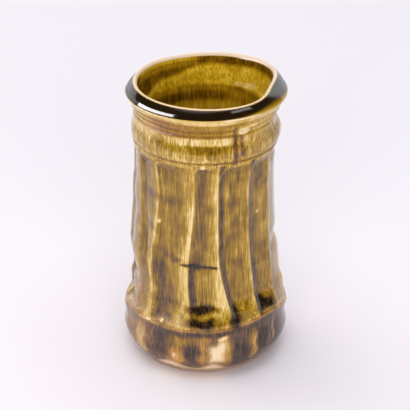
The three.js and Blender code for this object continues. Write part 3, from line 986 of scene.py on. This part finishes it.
def well_rows(coat):
    wall = [
        (LIP_RADIUS - 2.1 + coat, LIP_Z - 5, 0.85), (WELL_RADIUS + 1.9 + coat, LIP_Z - 13, 0.5),
        (WELL_RADIUS + 0.7 + coat, LIP_Z - 18, 0.2),
        (WELL_RADIUS + coat, CUT_LINE_Z - 8, 0), (WELL_RADIUS + coat, 70, 0),
        (WELL_RADIUS + 0.8 + coat, 36, 0), (WELL_RADIUS - 0.6 + coat, FLOOR_Z + 8 - coat, 0),
        (WELL_RADIUS - 6 + coat, FLOOR_Z + 1 - coat, 0),
    ]
    rows = [row(r, z, mouth=mouth, drifts=float(z > FLOOR_Z + 20)) for r, z, mouth in wall]
    return rows + [row(0, FLOOR_Z - coat, drifts=0.0)]


def tucked_rows():
    start = [(LIP_RADIUS - 1.45, LIP_Z - 1.5, 1, 1), (LIP_RADIUS - 1.66, LIP_Z - 2 - COAT_JOINT, 1, 1)]
    wall = [(each["r"], each["z"], each["mouth"], each["drifts"]) for each in well_rows(0)]
    smooth = smooth_curve(start + wall, 8)
    return [row(r, z, mouth=mouth, drifts=drifts) for r, z, mouth, drifts in smooth]


liner_shown = tucked_rows()
liner_hidden = [lip_edge(LINER_COAT), *well_rows(LINER_COAT)][::-1]
liner_mesh = throw("glaze liner", liner_hidden + liner_shown, closed=False)
liner_wall = carve(liner_mesh)
inner_glaze = add_piece("glaze_liner", liner_mesh, "inner_glaze")

# %% [markdown]
# Between the two skins is the clay, the part that was really thrown. It shows only where the foot
# was wiped bare, and stands on a narrow ring so that the pot doesn't rock.

# %% The clay
FOOT_RING_WIDTH, FOOT_RECESS = 7, 1.6


def foot_rows():
    inside = FOOT_RADIUS - FOOT_RING_WIDTH
    return [
        row(0, FOOT_RECESS), row(inside - 2, FOOT_RECESS), row(inside, 0),
        row(FOOT_RADIUS - 0.8, 0), row(FOOT_RADIUS, 0.5),
    ]


clay_rows = [*foot_rows(), *bond_rows(), lip_edge(LINER_COAT), *well_rows(LINER_COAT)]
clay_mesh = throw("clay", clay_rows, closed=False)
carve(clay_mesh)
clay_body = add_piece("thrown_clay", clay_mesh, "clay_body")

# %% [markdown]
# The liner is painted with the same numbers, as rings. It is painted dark in the hollow just under
# the lip, a painted shade, and bright gold where the wall swells below that hollow, a painted
# light. Lower down lie a lighter ring and a darker one above it, and at the left of the back the
# inside of the lip is painted bright, a painted highlight. The hollow is wider on the left of the
# back, where the mouth is fuller. Angles count from the middle of the back, and fold back at the
# sides, so that the rings close at the front without a seam.

# %% Paint the inside
def paint_inside(wall):
    z, back = wall["row_z"], turn_between(180, wall["azimuth"])
    side = np.copysign(np.minimum(np.abs(back), 180 - np.abs(back)), back)
    lip_shade_low = 144.4 - 4.5 * rise(0, 35, side) - 5 * rise(40, 75, side)
    # Painted light: bright gold where the wall swells below the lip's painted shade.
    gold = between(z, 134.2, lip_shade_low - 0.6, 1.6) * (1 - 0.55 * rise(-20, 25, side))
    depth = 0.36 - 0.12 * between(z, 117, 124.5, 1.5)
    depth = lay(depth, 0.70, between(z, 125.5, 131, 1.6) * (1 - 0.9 * rise(10, 28, -side)))
    depth = lay(depth, 0.50, between(z, 131.5, 134, 1.2))
    depth = lay(depth, 0.26, gold)
    depth = lay(depth, 0.22, 0.8 * hill(z, lip_shade_low - 1.8, 1.3) * rise(-5, 25, side))
    # Painted shade in the hollow under the lip.
    depth = lay(depth, 0.72, rise(lip_shade_low - 1.2, lip_shade_low + 1.2, z))
    # Painted highlight on the inside of the lip at the left of the back.
    lit_left_back = between(back, 8, 75, 8)
    depth = lay(depth, 0.42, 0.9 * between(z, 143.8, 146.5, 0.8) * lit_left_back)
    depth = lay(depth, 0.20, rise(145.8, 147.0, z) * lit_left_back)
    return mix_paints(z, depth=depth, streaks=0.7)


inside_paint = paint_inside(liner_wall)
keep_paint(liner_mesh, inside_paint)
print("mean glaze depth inside:", round(float(inside_paint["depth"].mean()), 2))

# %% [markdown]
# Colours are mixed by a share or looked up in a fade. The glaze's streaks and the clay's grain
# both come from one noise, drawn out up the pot.

# %% Mixes, fades and noise
def mix(tree, share, under, over):
    inputs = {"Factor": share, "A": under, "B": over}
    return node(tree, "ShaderNodeMix", inputs, data_type="RGBA").outputs["Result"]


def ramp(tree, value, places, colours):
    made = node(tree, "ShaderNodeValToRGB", {"Fac": value})
    elements = made.color_ramp.elements
    while len(elements) < len(places):
        elements.new(0.5)
    for element, place, colour in zip(elements, places, colours):
        element.position = place
        element.color = (*colour, 1)
    return made.outputs["Color"]


def noise(tree, stretch, size, detail=2):
    """Noise whose grain is size millimetres across and stretch times as long up the pot."""
    where = node(tree, "ShaderNodeTexCoord")
    inputs = {"Vector": where.outputs["Object"], "Scale": (1, 1, 1 / stretch)}
    mapping = node(tree, "ShaderNodeMapping", inputs)
    inputs = {"Vector": mapping.outputs[0], "Scale": 1 / (size * MM), "Detail": detail, "Roughness": 0.55}
    return node(tree, "ShaderNodeTexNoise", inputs).outputs["Fac"]


print("one millimetre is", MM, "of the scene's units")

# %% [markdown]
# The fired ash glaze is one node group, built once and placed in the finish of the coat and of
# the liner. It takes the painted depth, breaks it up with the fine vertical streaks that ash
# leaves as it runs, and looks the colour up in three fades: gold glaze, a yellower copy of it
# for the well, which is painted light for the light that bounces round inside, and glaze darkened
# by iron. A number named Well chooses between the first two.

# %% The fired ash glaze
GLAZE_DEPTHS = (0, 0.16, 0.3, 0.42, 0.55, 0.7, 0.85, 1)
GOLD_GLAZE = (
    (0.95, 0.76, 0.42), (0.8, 0.57, 0.18), (0.56, 0.355, 0.05), (0.41, 0.233, 0.018),
    (0.29, 0.159, 0.006), (0.18, 0.092, 0.003), (0.06, 0.029, 0.002), (0.012, 0.006, 0.001),
)
IRON_GLAZE = (
    (0.95, 0.76, 0.42), (0.8, 0.51, 0.17), (0.58, 0.3, 0.06), (0.42, 0.19, 0.035),
    (0.25, 0.118, 0.038), (0.14, 0.076, 0.044), (0.07, 0.038, 0.028), (0.012, 0.007, 0.004),
)
# Painted light: the gold glaze made yellower and more saturated for the light that bounces inside the
# well.
LINER_GLAZE = (
    (0.92, 0.66, 0.12), (0.8, 0.53, 0.035), (0.6, 0.35, 0.008), (0.46, 0.25, 0.008),
    (0.31, 0.158, 0.005), (0.18, 0.088, 0.002), (0.07, 0.034, 0.002), (0.015, 0.007, 0.001),
)
# The same pale cream serves for glaze breaks and for painted highlights.
BLOOM_AND_SHEEN_COLOUR = (0.93, 0.71, 0.50, 1)
PAINTED_INPUTS = ("Depth", "Iron", "Bloom", "Streaks")
FINE_SHARE, BROAD_SHARE, CLOUD_SHARE = 1.1, 0.55, 0.5


def glaze_group():
    tree = bpy.data.node_groups.new("fired ash glaze", "ShaderNodeTree")
    for label in (*PAINTED_INPUTS, "Well"):
        tree.interface.new_socket(label, in_out="INPUT", socket_type="NodeSocketFloat")
    tree.interface.new_socket("Color", in_out="OUTPUT", socket_type="NodeSocketColor")
    tree.interface.new_socket("Height", in_out="OUTPUT", socket_type="NodeSocketFloat")
    given = node(tree, "NodeGroupInput").outputs
    fine = maths(tree, "MULTIPLY", noise(tree, stretch=22, size=0.55), FINE_SHARE)
    broad = maths(tree, "MULTIPLY", noise(tree, stretch=9, size=2.2, detail=3), BROAD_SHARE)
    streaks = maths(tree, "SUBTRACT", maths(tree, "ADD", fine, broad), (FINE_SHARE + BROAD_SHARE) / 2)
    streaks = maths(tree, "MULTIPLY", streaks, given["Streaks"])
    clouds = maths(tree, "SUBTRACT", noise(tree, stretch=0.7, size=8), 0.5)
    clouds = maths(tree, "MULTIPLY", maths(tree, "MULTIPLY", clouds, CLOUD_SHARE), given["Streaks"])
    depth = maths(tree, "ADD", maths(tree, "ADD", given["Depth"], streaks), clouds)
    fades = (GOLD_GLAZE, LINER_GLAZE, IRON_GLAZE)
    gold, well, iron = (ramp(tree, depth, GLAZE_DEPTHS, fade) for fade in fades)
    tinted = mix(tree, given["Iron"], mix(tree, given["Well"], gold, well), iron)
    bloomed = mix(tree, given["Bloom"], tinted, BLOOM_AND_SHEEN_COLOUR)
    node(tree, "NodeGroupOutput", {"Color": bloomed, "Height": streaks})
    return tree


ash_glaze = glaze_group()
print("glaze group inputs:", [*PAINTED_INPUTS, "Well"])

# %% [markdown]
# Each finish reads the painted numbers of its own mesh and hands them to the group. The coat
# mirrors as glass does, and is rougher where it dried matt. The well mirrors little, because it
# mostly faces itself, and is glossy all over.

# %% The finish of the coat and of the liner
GLAZE_IOR = 1.52
GLOSSY, DULL = 0.1, 0.6


def glaze_material(name, well, mirror):
    material, shader = new_finish(name)
    tree = material.node_tree
    fired = node(tree, "ShaderNodeGroup", node_tree=ash_glaze)
    for label in PAINTED_INPUTS:
        painted = node(tree, "ShaderNodeAttribute", attribute_name=label.lower())
        tree.links.new(painted.outputs["Fac"], fired.inputs[label])
    fired.inputs["Well"].default_value = well
    inputs = {"Height": fired.outputs["Height"], "Strength": 0.12, "Distance": 0.2 * MM}
    relief = node(tree, "ShaderNodeBump", inputs)
    tree.links.new(fired.outputs["Color"], shader.inputs["Base Color"])
    tree.links.new(relief.outputs["Normal"], shader.inputs["Normal"])
    shader.inputs["Roughness"].default_value = GLOSSY
    shader.inputs["IOR"].default_value = GLAZE_IOR
    shader.inputs["Specular IOR Level"].default_value = mirror
    if not well:
        matt = node(tree, "ShaderNodeAttribute", attribute_name="matt").outputs["Fac"]
        roughness = maths(tree, "ADD", maths(tree, "MULTIPLY", matt, DULL - GLOSSY), GLOSSY)
        tree.links.new(roughness, shader.inputs["Roughness"])
    return material


outer_mesh.materials.append(glaze_material("ash glaze", well=0, mirror=0.5))
liner_mesh.materials.append(glaze_material("liner glaze", well=1, mirror=0.05))
print("roughness from", GLOSSY, "to", DULL)

# %% [markdown]
# The bare clay of the foot is a buff stoneware, sandy and quite matt. A fine noise gives both its
# speckle and its grain.

# %% The bare clay
GRAIN_STOPS = (0.3, 0.5, 0.7)
BUFF_CLAY = ((0.36, 0.22, 0.14), (0.55, 0.37, 0.25), (0.66, 0.48, 0.34))


def clay_material():
    material, shader = new_finish("bare clay")
    tree = material.node_tree
    grain = noise(tree, stretch=1, size=0.5, detail=4)
    relief = node(tree, "ShaderNodeBump", {"Height": grain, "Strength": 0.4, "Distance": 0.3 * MM})
    tree.links.new(ramp(tree, grain, GRAIN_STOPS, BUFF_CLAY), shader.inputs["Base Color"])
    tree.links.new(relief.outputs["Normal"], shader.inputs["Normal"])
    shader.inputs["Roughness"].default_value = 0.85
    return material


clay_mesh.materials.append(clay_material())
print("finishes:", [material.name for material in bpy.data.materials])
